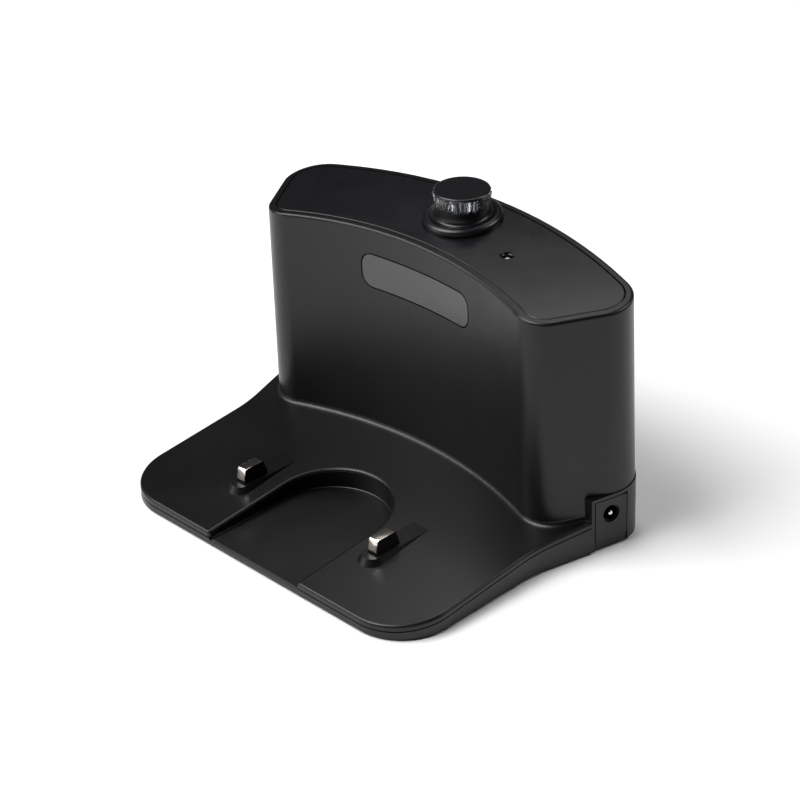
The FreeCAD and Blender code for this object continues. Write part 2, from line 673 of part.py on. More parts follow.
def collar_solid(y):
    """Collar turned about the cap's normal: round edge, crest, cove and a neck with a level top."""
    slant = math.sqrt(0.5)
    edge = V(COLLAR_R, 0, COLLAR_H - COLLAR_EDGE_R)
    edge_top = V(COLLAR_R - COLLAR_EDGE_R, 0, COLLAR_H)
    edge_middle = V(edge_top.x + COLLAR_EDGE_R * slant, 0, edge.z + COLLAR_EDGE_R * slant)
    crest = V(NECK_R + COLLAR_COVE, 0, COLLAR_CREST_H)
    neck_low = V(NECK_R, 0, COLLAR_CREST_H + COLLAR_COVE)
    cove_middle = V(crest.x - COLLAR_COVE * slant, 0, neck_low.z - COLLAR_COVE * slant)
    z = top_z(y)
    neck = V(NECK_R, 0, NECK_Z - z + NECK_R)
    points = [neck, V(0, 0, neck.z), V(0, 0, -2 * CAP_T), V(COLLAR_R, 0, -2 * CAP_T), edge]
    edges = Part.makePolygon(points).Edges
    edges.append(Part.Arc(edge, edge_middle, edge_top).toShape())
    edges.append(Part.LineSegment(edge_top, crest).toShape())
    edges.append(Part.Arc(crest, cove_middle, neck_low).toShape())
    edges.append(Part.LineSegment(neck_low, neck).toShape())
    turned = Part.Face(Part.Wire(edges)).revolve(V(0, 0, 0), V(0, 0, 1), 360)
    turned.rotate(V(0, 0, 0), V(1, 0, 0), TOWER_TOP_TILT)
    turned.translate(V(0, y, z))
    return turned.common(box(-SPAN, SPAN, y - SPAN, y + SPAN, 0, NECK_Z))


def beacon_lens():
    """Clear ring with a faceted outside and a spigot that sits in the neck."""
    y = BEACON_Y
    inner_r = LENS_R - LENS_WALL
    points = []
    for i in range(LENS_FACETS):
        turn = 2 * math.pi * i / LENS_FACETS
        points.append(V(LENS_R * math.cos(turn), y + LENS_R * math.sin(turn), NECK_Z))
    ring = Part.Face(Part.makePolygon(points + points[:1])).extrude(V(0, 0, LENS_H))
    spigot_r = NECK_BORE_R - BEACON_FIT
    spigot = rod(0, y, NECK_Z - LENS_SPIGOT, spigot_r, LENS_SPIGOT)
    bore = rod(0, y, NECK_Z + LENS_WALL / 2, inner_r, LENS_H)
    throat = rod(0, y, NECK_Z - LENS_SPIGOT, spigot_r - LENS_WALL / 2, LENS_SPIGOT + LENS_H)
    return ring.fuse(spigot).cut(bore).cut(throat)


def beacon_cap():
    """Flat black disc with a plug that fits in the lens."""
    y = BEACON_Y
    z = NECK_Z + LENS_H
    disc = rod(0, y, z, BEACON_CAP_R, BEACON_CAP_T)
    rim = [edge for edge in disc.Edges if edge.CenterOfMass.z > z + BEACON_CAP_T - 0.01]
    disc = disc.makeFillet(BEACON_CAP_T / 2, rim)
    plug_r = LENS_R - LENS_WALL - BEACON_FIT
    return disc.fuse(rod(0, y, z - BEACON_PLUG, plug_r, BEACON_PLUG))


def beacon_board():
    """Round board in the throat of the lens, on a stem from the board below."""
    y = BEACON_Y
    z = NECK_Z - BEACON_BOARD_DROP
    board_r = NECK_BORE_R - BEACON_FIT - LENS_WALL / 2 - JOINT_GAP
    stem_low = top_board_z(y) + BOARD_T
    stem = rod(0, y, stem_low - BOARD_T, board_r / 2, z - stem_low + BOARD_T)
    stem = stem.cut(slab_under(top_board_z, -BOARD_T))
    return rod(0, y, z, board_r, BOARD_T).fuse(stem)


def beacon_leds():
    """Ring of infrared emitters on the round board, each facing outwards."""
    y = BEACON_Y
    z = NECK_Z - BEACON_BOARD_DROP + BOARD_T
    inner = NECK_R / 3
    leds = []
    for i in range(BEACON_LEDS):
        led = Part.makeCylinder(EMITTER_R, EMITTER_L - EMITTER_R, V(inner, 0, EMITTER_R), V(1, 0, 0))
        led = led.fuse(Part.makeSphere(EMITTER_R, V(inner + EMITTER_L - EMITTER_R, 0, EMITTER_R)))
        led.rotate(V(0, 0, 0), V(0, 0, 1), 360.0 * i / BEACON_LEDS)
        led.translate(V(0, y, z))
        leds.append(led)
    return Part.makeCompound(leds)


def top_board_z(y):
    """Height of the underside of the board below the cap."""
    return top_z(y) - CAP_T - TOP_BOARD_POST - BOARD_T


def top_board_posts():
    """Plan points of the posts that carry the top board."""
    half = TOP_BOARD_W / 2 - MAIN_BOARD_HOLE_EDGE
    y = BEACON_Y
    return [(TOP_BOARD_X - half, y), (TOP_BOARD_X + half, y)]


def top_board():
    """Board below the cap, parallel to it, for the beacon and the indicator."""
    half = TOP_BOARD_W / 2
    y = BEACON_Y
    block = box(TOP_BOARD_X - half, TOP_BOARD_X + half, y - TOP_BOARD_L / 2, y + TOP_BOARD_L / 2, 0, SPAN)
    board = block.common(slab_under(top_board_z, -BOARD_T)).cut(slab_under(top_board_z))
    for x, post_y in top_board_posts():
        board = board.cut(rod(x, post_y, 0, SCREW_HOLE_R, SPAN))
    return board


def top_board_screws():
    """Screws that hold the top board to the cap, from below."""
    screws = []
    for x, y in top_board_posts():
        z = top_board_z(y) - JOINT_GAP
        shank = rod(x, y, z, SCREW_PILOT_R, BOARD_SCREW_L)
        screws.append(shank.fuse(rod(x, y, z - SCREW_HEAD_H, SCREW_HEAD_R, SCREW_HEAD_H)))
    return Part.makeCompound(screws)


def indicator_led():
    """Small dome LED that stands on the top board and looks out of the sunk hole."""
    y = BEACON_Y - LED_AHEAD
    low = top_board_z(y) + BOARD_T + LED_R * math.tan(math.radians(TOWER_TOP_TILT))
    tip = top_z(y, LED_X) - LED_RECESS
    body = rod(LED_X, y, low, LED_R, tip - LED_R - low)
    dome = Part.makeSphere(LED_R, V(LED_X, y, tip - LED_R))
    return body.fuse(dome).fuse(rod(LED_X, y, low, LED_FLANGE_R, LED_FLANGE_T))


def ir_window():
    """Dark window that lies flush in the hollow front and follows its curve."""
    high = TOWER_TOP_Z + SKIRT_Z
    y0 = depth(SKIRT_START) - TOWER_DEPTH
    slab = slot_prism(0, y0, depth(EMITTER_BOARD_DEPTH))
    return slab.common(tower_solid(0, 0, high).cut(tower_solid(WINDOW_T, 0, high)))


def emitter_board():
    """Upright board behind the window."""
    half = EMITTER_BOARD_W / 2
    y = depth(EMITTER_BOARD_DEPTH)
    low = WINDOW_Z - EMITTER_BOARD_H / 2
    board = box(-half, half, y, y + BOARD_T, low, low + EMITTER_BOARD_H)
    for x in (-EMITTER_POST_X, EMITTER_POST_X):
        board = board.cut(Part.makeCylinder(SCREW_HOLE_R, BOARD_T, V(x, y, WINDOW_Z), V(0, 1, 0)))
    return board


def ir_emitters():
    """Row of infrared emitters that face the window."""
    y = depth(EMITTER_BOARD_DEPTH)
    emitters = []
    for i in (-1, 0, 1):
        x = i * EMITTER_PITCH
        back = V(x, y, WINDOW_Z)
        body = Part.makeCylinder(EMITTER_R, EMITTER_L - EMITTER_R, back, V(0, -1, 0))
        dome = Part.makeSphere(EMITTER_R, V(x, y - EMITTER_L + EMITTER_R, WINDOW_Z))
        emitters.append(body.fuse(dome.cut(box(-SPAN, SPAN, y, SPAN, 0, SPAN))))
    return Part.makeCompound(emitters)


def emitter_board_screws():
    """Screws that hold the emitter board to its posts."""
    y = depth(EMITTER_BOARD_DEPTH) + BOARD_T
    screws = []
    for x in (-EMITTER_POST_X, EMITTER_POST_X):
        shank = Part.makeCylinder(SCREW_PILOT_R, BOARD_SCREW_L, V(x, y, WINDOW_Z), V(0, -1, 0))
        head = Part.makeCylinder(SCREW_HEAD_R, SCREW_HEAD_H, V(x, y, WINDOW_Z), V(0, 1, 0))
        screws.append(shank.fuse(head))
    return Part.makeCompound(screws)


def main_board_holes():
    """Plan points of the main board's four screws."""
    y0 = depth(MAIN_BOARD_DEPTH)
    xs = (MAIN_BOARD_X + MAIN_BOARD_HOLE_EDGE, MAIN_BOARD_X + MAIN_BOARD_W - MAIN_BOARD_HOLE_EDGE)
    ys = (y0 + MAIN_BOARD_HOLE_EDGE, y0 + MAIN_BOARD_L - MAIN_BOARD_HOLE_EDGE)
    return [(x, y) for x in xs for y in ys]


def main_board():
    """Charging board on its standoffs beside the jack."""
    y0 = depth(MAIN_BOARD_DEPTH)
    board = box(MAIN_BOARD_X, MAIN_BOARD_X + MAIN_BOARD_W, y0, y0 + MAIN_BOARD_L, MAIN_BOARD_Z, MAIN_BOARD_Z + BOARD_T)
    for x, y in main_board_holes():
        board = board.cut(rod(x, y, MAIN_BOARD_Z, SCREW_HOLE_R, BOARD_T))
    return board


def main_board_screws():
    """Screws that hold the main board to its standoffs."""
    screws = []
    z = MAIN_BOARD_Z + BOARD_T
    for x, y in main_board_holes():
        shank = rod(x, y, z - BOARD_SCREW_L, SCREW_PILOT_R, BOARD_SCREW_L)
        screws.append(shank.fuse(rod(x, y, z, SCREW_HEAD_R, SCREW_HEAD_H)))
    return Part.makeCompound(screws)


def board_spot(along, across):
    """Point on top of the main board, as shares of its width and length."""
    x = MAIN_BOARD_X + along * MAIN_BOARD_W
    return x, depth(MAIN_BOARD_DEPTH) + across * MAIN_BOARD_L, MAIN_BOARD_Z + BOARD_T


def filter_capacitor():
    """Can capacitor on the main board."""
    x, y, z = board_spot(0.72, 0.5)
    can = rod(x, y, z, CAPACITOR_R, CAPACITOR_H)
    rim = [edge for edge in can.Edges if edge.CenterOfMass.z > z + CAPACITOR_H - 0.01]
    return can.makeFillet(CAPACITOR_R / 8, rim)


def power_inductor():
    """Drum inductor on the main board, waisted where it is wound."""
    x, y, z = board_spot(0.46, 0.5)
    flange = INDUCTOR_H / 5
    drum = rod(x, y, z, INDUCTOR_R, flange)
    drum = drum.fuse(rod(x, y, z, INDUCTOR_R * 0.85, INDUCTOR_H))
    return drum.fuse(rod(x, y, z + INDUCTOR_H - flange, INDUCTOR_R, flange))


def control_chip():
    """Control chip on the main board."""
    x, y, z = board_spot(0.22, 0.6)
    return box(x - CHIP_W / 2, x + CHIP_W / 2, y - CHIP_L / 2, y + CHIP_L / 2, z, z + CHIP_H)


def connector_places():
    """Plan points of the lead connectors, in a row along the board's front edge."""
    y = depth(MAIN_BOARD_DEPTH) + CONNECTOR_L / 2
    x0 = MAIN_BOARD_X + MAIN_BOARD_W / 2
    return [(x0 + (i - 1) * CONNECTOR_PITCH, y) for i in range(3)]


def lead_connectors():
    """Shrouded connectors, open on top, for the leads."""
    z = MAIN_BOARD_Z + BOARD_T
    shell = CONNECTOR_W / 8
    sockets = []
    for x, y in connector_places():
        w = CONNECTOR_W / 2
        l = CONNECTOR_L / 2
        outer = box(x - w, x + w, y - l, y + l, z, z + CONNECTOR_H)
        inner = box(x - w + shell, x + w - shell, y - l + shell, y + l - shell, z + 2 * shell, z + CONNECTOR_H)
        sockets.append(outer.cut(inner))
    return Part.makeCompound(sockets)


def contact_profile(points, x):
    """Side outline of a contact piece, extruded across the contact's width."""
    edges = []
    for run in points:
        corners = [V(x - CONTACT_W / 2, y, z) for y, z in run]
        curve = Part.LineSegment(*corners) if len(corners) == 2 else Part.Arc(*corners)
        edges.append(curve.toShape())
    return Part.Face(Part.Wire(edges)).extrude(V(CONTACT_W, 0, 0))


def bend_points(front, top, radius):
    """Three points of the rounded front corner of a contact."""
    share = radius * (1 - math.sqrt(0.5))
    return [(front, top - radius), (front + share, top - share), (front + radius, top)]


def contact_block(x):
    """Black plunger: carries the strip, slides in the pad and is held by its flange."""
    front = depth(CONTACT_DEPTH)
    back = front + CONTACT_FOOT_L
    heel = front + CONTACT_TOP_L
    low = flange_z() - FLANGE_T
    seat = front + STRIP_T
    leg_z = CONTACT_TOP_Z - STRIP_LEG
    under = CONTACT_TOP_Z - STRIP_T
    bend = bend_points(seat, under, STRIP_BEND_R - STRIP_T)
    block = contact_profile([
        [(front, low), (front, leg_z)], [(front, leg_z), (seat, leg_z)], [(seat, leg_z), bend[0]], bend,
        [bend[2], (heel, under)], [(heel, under), (heel, CONTACT_TOP_Z)],
        [(heel, CONTACT_TOP_Z), (heel + HEEL_L, CONTACT_TOP_Z)],
        [(heel + HEEL_L, CONTACT_TOP_Z), (back, CONTACT_HEEL_Z)],
        [(back, CONTACT_HEEL_Z), (back, low)], [(back, low), (front, low)],
    ], x)
    half = CONTACT_W / 2 + FLANGE_LIP - CONTACT_CLEARANCE
    lip = FLANGE_LIP - 2 * CONTACT_CLEARANCE
    block = block.fuse(box(x - half, x + half, front - lip, back + lip, low, flange_z()))
    y = spring_y()
    return block.cut(rod(x, y, 0, SPRING_POCKET_R, SPRING_TOP_Z)).removeSplitter()


def flange_z():
    """Top of a contact's flange at rest, just under the pad."""
    return PAD_Z - PAD_T - CONTACT_CLEARANCE


def spring_y():
    """Y of the springs' axes."""
    return depth(CONTACT_DEPTH) + CONTACT_FOOT_L / 2


def contact_strip(x):
    """Plated strip, bent over the front of the block."""
    front = depth(CONTACT_DEPTH)
    heel = front + CONTACT_TOP_L
    seat = front + STRIP_T
    leg_z = CONTACT_TOP_Z - STRIP_LEG
    under = CONTACT_TOP_Z - STRIP_T
    outer = bend_points(front, CONTACT_TOP_Z, STRIP_BEND_R)
    inner = bend_points(seat, under, STRIP_BEND_R - STRIP_T)
    return contact_profile([
        [(front, leg_z), outer[0]], outer, [outer[2], (heel, CONTACT_TOP_Z)],
        [(heel, CONTACT_TOP_Z), (heel, under)], [(heel, under), inner[2]], inner[::-1],
        [inner[0], (seat, leg_z)], [(seat, leg_z), (front, leg_z)],
    ], x)


def contact_spring(x):
    """Coil spring between the terminal and the top of the block's pocket."""
    low = FLOOR_Z + TERMINAL_T + SPRING_WIRE_R
    height = SPRING_TOP_Z - SPRING_WIRE_R - low
    helix = Part.makeHelix(SPRING_PITCH, height, SPRING_R)
    section = Part.Wire(Part.makeCircle(SPRING_WIRE_R, V(SPRING_R, 0, 0), V(0, 1, 0)))
    coil = Part.Wire(helix.Edges).makePipeShell([section], True, True)
    coil.translate(V(x, spring_y(), low))
    return coil


def contact_terminal(x):
    """Brass plate under a contact, with a peg for the spring and a tail for the lead."""
    y = spring_y()
    half = TERMINAL_W / 2
    front = y - CONTACT_FOOT_L / 2
    plate = box(x - half, x + half, front, front + TERMINAL_L, FLOOR_Z, FLOOR_Z + TERMINAL_T)
    return plate.fuse(rod(x, y, FLOOR_Z + TERMINAL_T, TERMINAL_PEG_R, TERMINAL_PEG_H))


def ballast_plate():
    """Steel weight on the tray's floor, cut to the curve of the tower."""
    plate = Part.Face(tower_outline(WALL + BALLAST_INSET, FLOOR_Z)).extrude(V(0, 0, BALLAST_T))
    plate = plate.common(box(BALLAST_LEFT_X, BALLAST_RIGHT_X, FRONT_Y, BACK_Y, 0, SPAN))
    for x, y in rear_screw_places():
        plate = plate.cut(rod(x, y, 0, SCREW_BOSS_R + 2 * JOINT_GAP, SPAN))
    return plate


def rubber_feet():
    """Soft pads let into the underside."""
    feet = []
    for x, y in screw_places([FOOT_FRONT, FOOT_REAR]):
        foot = rod(x, y, 0, FOOT_R - JOINT_GAP, FOOT_PROUD + FOOT_SUNK)
        rim = [edge for edge in foot.Edges if edge.CenterOfMass.z < 0.01]
        feet.append(foot.makeFillet(FOOT_PROUD / 3, rim))
    return Part.makeCompound(feet)


def case_screw(x, y, seat, length):
    """Screw that is driven upwards, with its head below the seat."""
    shank = rod(x, y, seat, SCREW_PILOT_R, length)
    return shank.fuse(rod(x, y, seat - SCREW_HEAD_H, SCREW_HEAD_R, SCREW_HEAD_H))


def front_case_screws():
    """Screws from below into the deck's bosses."""
    seat = FOOT_PROUD + SCREW_HEAD_H
    lengths = [length for length in FRONT_SCREW_L for side in (-1, 1)]
    places = screw_places(FRONT_SCREWS)
    return Part.makeCompound([case_screw(x, y, seat, length) for (x, y), length in zip(places, lengths)])


def rear_case_screws():
    """Long screws up through the pillars into the tower's bosses."""
    return Part.makeCompound([
        case_screw(x, y, REAR_SCREW_SEAT_Z, REAR_SCREW_L) for x, y in rear_screw_places()])


def build():
    """All pieces by node name."""
    pieces = {
        "upper_housing": upper_housing(), "base_tray": base_tray(), "top_cap": top_cap(),
        "beacon_lens": beacon_lens(), "beacon_cap": beacon_cap(), "beacon_board": beacon_board(),
        "beacon_leds": beacon_leds(), "top_board": top_board(), "top_board_screws": top_board_screws(),
        "indicator_led": indicator_led(), "ir_window": ir_window(), "emitter_board": emitter_board(),
        "ir_emitters": ir_emitters(), "emitter_board_screws": emitter_board_screws(),
        "main_board": main_board(), "main_board_screws": main_board_screws(),
        "filter_capacitor": filter_capacitor(), "power_inductor": power_inductor(),
        "control_chip": control_chip(), "lead_connectors": lead_connectors(),
        "jack_panel": jack_panel(), "dc_jack": dc_jack(), "dc_jack_pin": dc_jack_pin(),
        "ballast_plate": ballast_plate(), "rubber_feet": rubber_feet(),
        "front_case_screws": front_case_screws(), "rear_case_screws": rear_case_screws(),
    }
    for side, x in (("left", -CONTACT_X), ("right", CONTACT_X)):
        pieces[side + "_contact_block"] = contact_block(x)
        pieces[side + "_contact_strip"] = contact_strip(x)
        pieces[side + "_contact_spring"] = contact_spring(x)
        pieces[side + "_contact_terminal"] = contact_terminal(x)
    return pieces


os.makedirs("parts", exist_ok=True)
for node, shape in build().items():
    shape.exportStep("parts/" + node + ".step")
    print(node, len(shape.Solids), shape.isValid(), round(shape.Volume, 1))
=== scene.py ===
"""Robot vacuum charging dock: finishes, fine pieces, studio and camera round the CAD frame."""

from __future__ import annotations

import logging
import math
from abc import ABC, abstractmethod
from dataclasses import dataclass
from enum import Enum

import bmesh
import bpy
from mathutils import Matrix, Vector

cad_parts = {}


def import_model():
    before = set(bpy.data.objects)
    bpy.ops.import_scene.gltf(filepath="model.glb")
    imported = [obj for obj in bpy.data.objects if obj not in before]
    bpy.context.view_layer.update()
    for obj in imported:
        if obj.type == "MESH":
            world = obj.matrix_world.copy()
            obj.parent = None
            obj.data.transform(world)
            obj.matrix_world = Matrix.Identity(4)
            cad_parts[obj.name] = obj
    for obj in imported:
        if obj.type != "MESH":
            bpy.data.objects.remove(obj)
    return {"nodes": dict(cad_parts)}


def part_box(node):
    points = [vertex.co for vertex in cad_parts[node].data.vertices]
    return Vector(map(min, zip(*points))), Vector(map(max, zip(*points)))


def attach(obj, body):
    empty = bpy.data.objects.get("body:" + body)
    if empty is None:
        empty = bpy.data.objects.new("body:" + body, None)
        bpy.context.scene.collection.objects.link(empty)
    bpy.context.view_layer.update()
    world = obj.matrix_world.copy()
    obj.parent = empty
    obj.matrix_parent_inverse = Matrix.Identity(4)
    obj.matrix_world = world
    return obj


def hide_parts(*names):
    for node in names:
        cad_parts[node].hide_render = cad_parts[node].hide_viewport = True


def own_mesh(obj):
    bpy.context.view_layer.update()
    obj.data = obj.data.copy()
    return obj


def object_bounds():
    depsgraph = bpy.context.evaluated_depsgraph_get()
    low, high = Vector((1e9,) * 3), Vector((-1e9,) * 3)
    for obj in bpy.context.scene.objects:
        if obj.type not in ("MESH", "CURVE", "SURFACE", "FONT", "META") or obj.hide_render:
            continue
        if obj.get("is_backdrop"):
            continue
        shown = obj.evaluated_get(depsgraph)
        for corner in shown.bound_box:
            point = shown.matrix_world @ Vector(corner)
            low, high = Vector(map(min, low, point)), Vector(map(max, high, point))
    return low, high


LOG = logging.getLogger("charging_dock")
ROOT_BODY = "dock"
ROUND_POINTS = 96
ARC_POINTS = 72
WIRE_POINTS = 12
WELD = 1e-6
NOISE_LOW = 0.3
NOISE_HIGH = 0.7
Colour = tuple[float, float, float]
Triple = tuple[float, float, float]
Pair = tuple[float, float]
Socket = bpy.types.NodeSocket


def show(name: str, data: bpy.types.ID) -> bpy.types.Object:
    """Make an object of some data, put it in the scene and return it."""
    made = bpy.data.objects.new(name, data)
    bpy.context.scene.collection.objects.link(made)
    return made


def settle(piece: bpy.types.Object, modifier: bpy.types.Modifier) -> bpy.types.Mesh:
    """Turn a piece with one modifier into a plain mesh.

    Args:
        piece: The object, which loses the modifier and gets the mesh.
        modifier: Its modifier.

    Returns:
        The plain mesh.
    """
    evaluated = piece.evaluated_get(bpy.context.evaluated_depsgraph_get())
    mesh = bpy.data.meshes.new_from_object(evaluated)
    piece.modifiers.remove(modifier)
    piece.data = mesh
    mesh.name = piece.name
    LOG.info("made %s with %d faces", piece.name, len(mesh.polygons))
    return mesh


class NodeGraph:
    """Adds, fills and links the nodes of one node tree."""

    def __init__(self, tree: bpy.types.NodeTree) -> None:
        """Keep the tree that the nodes go into."""
        self.tree = tree

    def add(self, kind: str, settings: dict | None = None, **inputs: object) -> bpy.types.Node:
        """Make a node, set its properties and fill its inputs.

        Args:
            kind: Blender's name of the node type.
            settings: Properties of the node itself.
            inputs: Values or output sockets by input name, with _ for a space.

        Returns:
            The new node.
        """
        node = self.tree.nodes.new(kind)
        for name, value in (settings or {}).items():
            setattr(node, name, value)
        for name, value in inputs.items():
            self.fill(node.inputs[name.replace("_", " ")], value)
        return node

    def fill(self, socket: Socket, value: object) -> None:
        """Link an output socket to an input, or set the input's value."""
        if isinstance(value, Socket):
            self.tree.links.new(value, socket)
        else:
            socket.default_value = value


class SurfaceGraph(NodeGraph):
    """Node tree of a material, with the patterns that the finishes share."""

    def __init__(self, name: str) -> None:
        """Start a material with a principled surface that reads Object coordinates."""
        self.material = bpy.data.materials.new(name)
        self.material.use_nodes = True
        super().__init__(self.material.node_tree)
        self.tree.nodes.clear()
        self.place = self.add("ShaderNodeTexCoord").outputs["Object"]
        self.surface = self.add("ShaderNodeBsdfPrincipled")
        self.add("ShaderNodeOutputMaterial", Surface=self.surface.outputs["BSDF"])

    def set(self, **inputs: object) -> None:
        """Fill inputs of the principled surface."""
        for name, value in inputs.items():
            self.fill(self.surface.inputs[name.replace("_", " ")], value)

    def noise(self, scale: float, detail: float = 3.0, stretch: Triple = (1, 1, 1)) -> Socket:
        """Noise in the piece's own frame.

        Args:
            scale: Cells in a metre.
            detail: Octaves of the noise.
            stretch: Scale of the pattern along each axis.

        Returns:
            The socket of the noise factor.
        """
        place = self.place
        if stretch != (1, 1, 1):
            place = self.add("ShaderNodeMapping", Vector=place, Scale=stretch).outputs["Vector"]
        made = self.add(
            "ShaderNodeTexNoise", Vector=place, Scale=scale, Detail=detail, Roughness=0.6,
        )
        return made.outputs["Fac"]

    def remap(self, value: Socket, low: float, high: float) -> Socket:
        """Spread the middle of a noise over a range.

        Args:
            value: Noise factor.
            low: Result where the noise is low.
            high: Result where the noise is high.

        Returns:
            The socket of the result.
        """
        made = self.add(
            "ShaderNodeMapRange", Value=value,
            From_Min=NOISE_LOW, From_Max=NOISE_HIGH, To_Min=low, To_Max=high,
        )
        return made.outputs["Result"]

    def between(self, share: Socket, first: Colour, second: Colour) -> Socket:
        """Mix two colours.

        Args:
            share: How much of the second colour shows.
            first: Colour at share 0.
            second: Colour at share 1.

        Returns:
            The socket of the mixed colour.
        """
        ramp = self.add("ShaderNodeValToRGB", Fac=share)
        ramp.color_ramp.elements[0].color = (*first, 1)
        ramp.color_ramp.elements[1].color = (*second, 1)
        return ramp.outputs["Color"]

    def bump(self, height: Socket, strength: float, depth: float) -> Socket:
        """Relief too fine to model.

        Args:
            height: Socket of the height.
            strength: Share of the relief that shows.
            depth: Height of the relief in metres.

        Returns:
            The socket of the bent normal.
        """
        made = self.add("ShaderNodeBump", Height=height, Strength=strength, Distance=depth)
        return made.outputs["Normal"]


def shade(colour: Colour, factor: float) -> Colour:
    """Return a colour made lighter or darker by a factor."""
    return tuple(min(1.0, part * factor) for part in colour)


@dataclass(frozen=True)
class MouldedPlastic:
    """Injection-moulded plastic with a fine spark-eroded grain."""

    name: str
    colour: Colour
    roughness: float = 0.42
    grain: float = 0.16
    grain_scale: float = 2400.0
    mottle: float = 0.10
    specular: float = 0.5
    mottle_scale: float = 22.0
    patch_scale: float = 60.0
    spread: float = 0.03
    grain_depth: float = 0.00006

    def build(self) -> bpy.types.Material:
        """Make the material and return it."""
        graph = SurfaceGraph(self.name)
        cloud = graph.remap(graph.noise(self.mottle_scale, detail=4.0), 0.0, 1.0)
        grain = graph.noise(self.grain_scale, detail=2.0)
        dark, light = (shade(self.colour, 1 + way * self.mottle) for way in (-1, 1))
        low, high = self.roughness - self.spread, self.roughness + self.spread
        graph.set(
            Base_Color=graph.between(cloud, dark, light),
            Roughness=graph.remap(graph.noise(self.patch_scale), low, high),
            Normal=graph.bump(grain, self.grain, self.grain_depth),
            Specular_IOR_Level=self.specular,
        )
        return graph.material


@dataclass(frozen=True)
class PlatedMetal:
    """Metal with drawn or brushed lines and a thin plating."""

    name: str
    colour: Colour
    roughness: float = 0.3
    lines: Triple = (1.0, 0.06, 1.0)
    line_scale: float = 3000.0
    line_strength: float = 0.12
    line_depth: float = 0.00003
    polish: Pair = (-0.06, 0.08)
    tarnish: Pair = (0.88, 1.06)
    tarnish_scale: float = 180.0

    def build(self) -> bpy.types.Material:
        """Make the material and return it."""
        graph = SurfaceGraph(self.name)
        brushed = graph.noise(self.line_scale, stretch=self.lines)
        cloud = graph.remap(graph.noise(self.tarnish_scale, detail=4.0), 0.0, 1.0)
        dark, light = (shade(self.colour, factor) for factor in self.tarnish)
        low, high = (self.roughness + change for change in self.polish)
        graph.set(
            Base_Color=graph.between(cloud, dark, light),
            Metallic=1.0,
            Roughness=graph.remap(brushed, low, high),
            Normal=graph.bump(brushed, self.line_strength, self.line_depth),
        )
        return graph.material


@dataclass(frozen=True)
class ClearResin:
    """Clear or tinted plastic that light passes through."""

    name: str
    colour: Colour
    roughness: float = 0.04
    transmission: float = 1.0
    ior: float = 1.49
    flow_scale: float = 140.0
    cloud: float = 0.96
    spread: float = 0.03
    ripple: float = 0.25
    ripple_depth: float = 0.0003

    def build(self) -> bpy.types.Material:
        """Make the material and return it."""
        graph = SurfaceGraph(self.name)
        flow = graph.noise(self.flow_scale, detail=2.0)
        share = graph.remap(flow, 0.0, 1.0)
        graph.set(
            Base_Color=graph.between(share, shade(self.colour, self.cloud), self.colour),
            Roughness=graph.remap(flow, self.roughness, self.roughness + self.spread),
            Transmission_Weight=self.transmission,
            IOR=self.ior,
            Normal=graph.bump(flow, self.ripple, self.ripple_depth),
        )
        return graph.material


@dataclass(frozen=True)
class CircuitLaminate:
    """Circuit board with its tracks showing through the solder mask."""

    name: str
    mask: Colour = (0.012, 0.075, 0.035)
    track: Colour = (0.03, 0.15, 0.07)
    cell_scale: float = 160.0
    gap: float = 0.12
    gloss: Pair = (0.28, 0.4)
    gloss_scale: float = 300.0
    relief: float = 0.3
    relief_depth: float = 0.00004

    def build(self) -> bpy.types.Material:
        """Make the material and return it."""
        graph = SurfaceGraph(self.name)
        cells = graph.add(
            "ShaderNodeTexBrick", Vector=graph.place, Scale=self.cell_scale, Mortar_Size=self.gap,
            Color1=(1, 1, 1, 1), Color2=(1, 1, 1, 1), Mortar=(0, 0, 0, 1),
        )
        tracks = cells.outputs["Fac"]
        graph.set(
            Base_Color=graph.between(tracks, self.mask, self.track),
            Roughness=graph.remap(graph.noise(self.gloss_scale), *self.gloss),
            Normal=graph.bump(tracks, self.relief, self.relief_depth),
        )
        return graph.material


@dataclass(frozen=True)
class SoftRubber:
    """Matt rubber with a dusty bloom."""

    name: str
    colour: Colour
    roughness: float = 0.75
    spread: float = 0.06
    patch_scale: float = 400.0
    bloom: Pair = (0.85, 1.3)
    bloom_scale: float = 90.0
    grain: float = 0.25
    grain_scale: float = 1500.0
    grain_depth: float = 0.00008

    def build(self) -> bpy.types.Material:
        """Make the material and return it."""
        graph = SurfaceGraph(self.name)
        cloud = graph.remap(graph.noise(self.bloom_scale, detail=5.0), 0.0, 1.0)
        dark, light = (shade(self.colour, factor) for factor in self.bloom)
        low, high = self.roughness - self.spread, self.roughness + self.spread
        graph.set(
            Base_Color=graph.between(cloud, dark, light),
            Roughness=graph.remap(graph.noise(self.patch_scale), low, high),
            Normal=graph.bump(graph.noise(self.grain_scale), self.grain, self.grain_depth),
        )
        return graph.material


